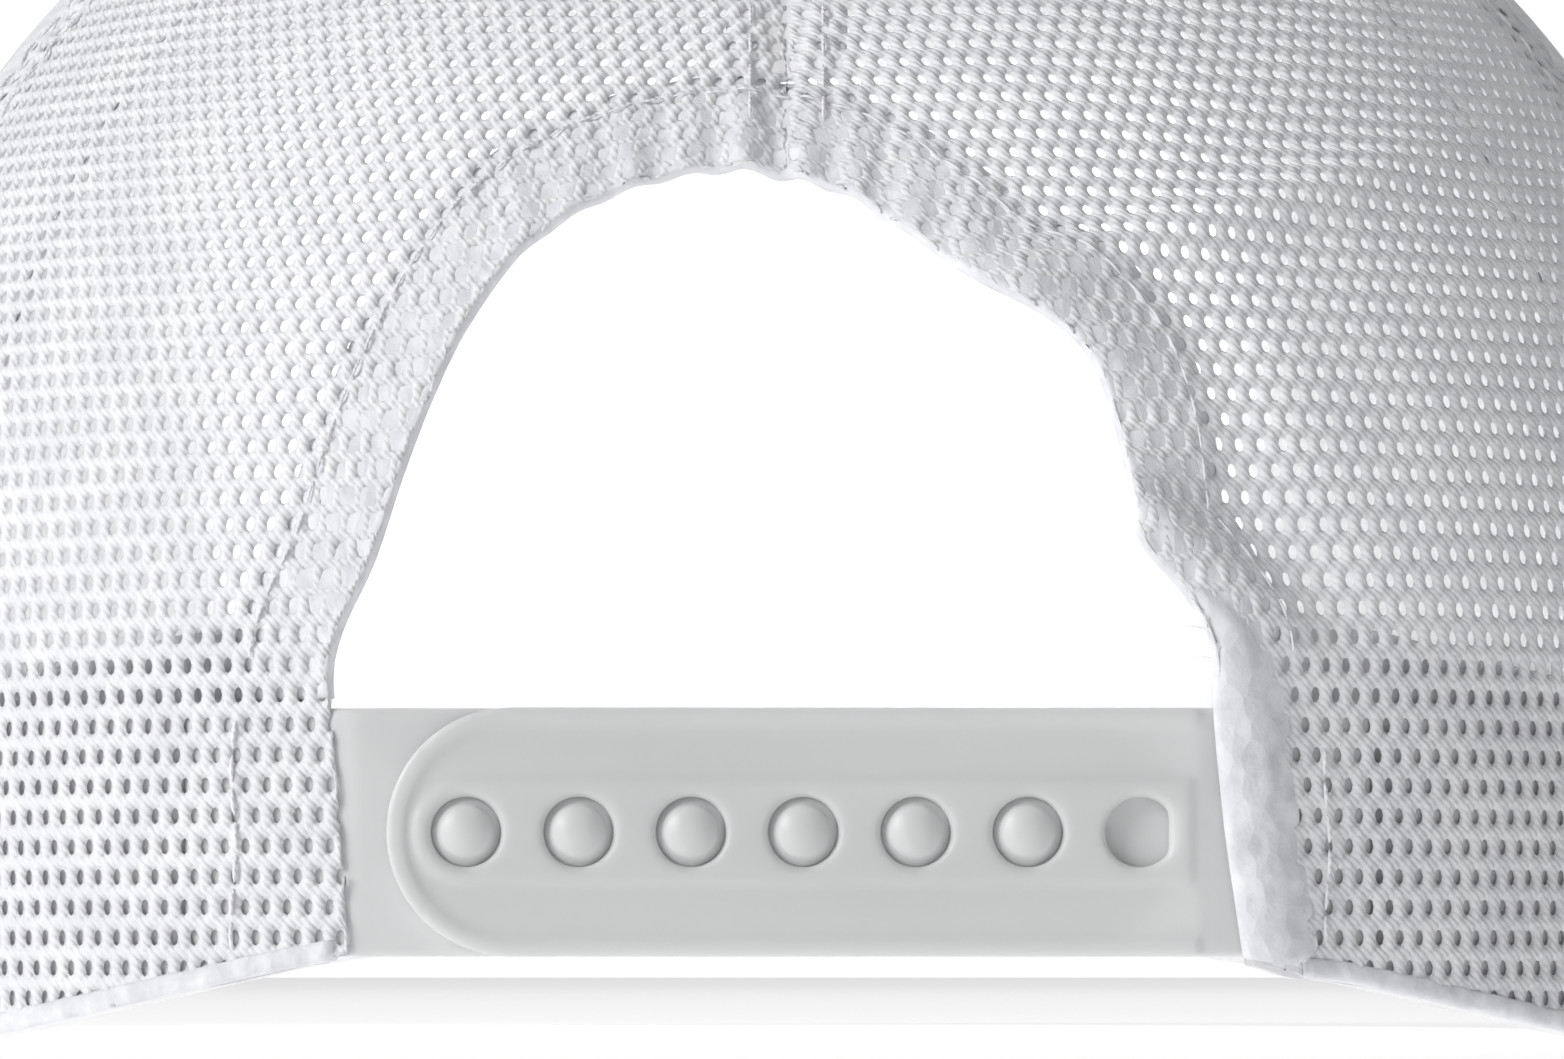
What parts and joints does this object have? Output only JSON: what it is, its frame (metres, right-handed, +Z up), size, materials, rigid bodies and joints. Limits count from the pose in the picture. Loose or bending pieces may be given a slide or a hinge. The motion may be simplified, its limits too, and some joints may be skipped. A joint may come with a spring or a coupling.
{
  "type": "mesh-back cap",
  "caption": "Mesh-back cap with a foam front, a curved visor, an arched rear opening and a two-strap plastic snap closure.",
  "frame": {"origin": "centre of the head opening, on the plane the cap stands on", "axes": "+Z up, +Y out along the visor, so the snap closure is at -Y; left and right are as seen from behind, +X right"},
  "size_m": [0.176, 0.2606, 0.1227],
  "materials": {
    "mesh": "open knitted polyester mesh",
    "front_cloth": "smooth woven polyester",
    "foam": "soft foam",
    "tape": "woven tape",
    "sweatband_cloth": "soft brushed cloth",
    "board": "matte",
    "button_metal": "satin",
    "strap_plastic": "satin, slightly milky"
  },
  "bodies": {
    "crown": {"front_fabric": "front_cloth", "front_foam": "foam", "side_mesh_left": "mesh", "side_mesh_right": "mesh", "rear_mesh_left": "mesh", "rear_mesh_right": "mesh", "opening_binding": "tape", "seam_tape_front_left": "tape", "seam_tape_front_right": "tape", "seam_tape_rear_left": "tape", "seam_tape_rear_right": "tape", "seam_tape_centre": "tape", "sweatband": "sweatband_cloth", "forehead_padding": "foam", "visor_board": "board", "visor_top_cover": "front_cloth", "visor_under_cover": "front_cloth", "button_cover": "front_cloth", "button_shell": "button_metal", "button_tack": "button_metal", "hole_strap_end": "strap_plastic", "peg_strap_end": "strap_plastic"},
    "hole_strap": {"hole_strap": "strap_plastic"},
    "peg_strap": {"peg_strap": "strap_plastic"}
  },
  "joints": [
    {"name": "hole_strap_swing", "type": "hinge", "parent": "crown", "child": "hole_strap", "pos_m": [0.033, -0.08427, 0.017], "axis": [0, 0, 1], "range_deg": [0, 100], "stiffness_Nm_per_rad": 0.03},
    {"name": "peg_strap_swing", "type": "hinge", "parent": "crown", "child": "peg_strap", "pos_m": [-0.0345, -0.08398, 0.017], "axis": [0, 0, 1], "range_deg": [0, 60], "stiffness_Nm_per_rad": 0.03}
  ]
}
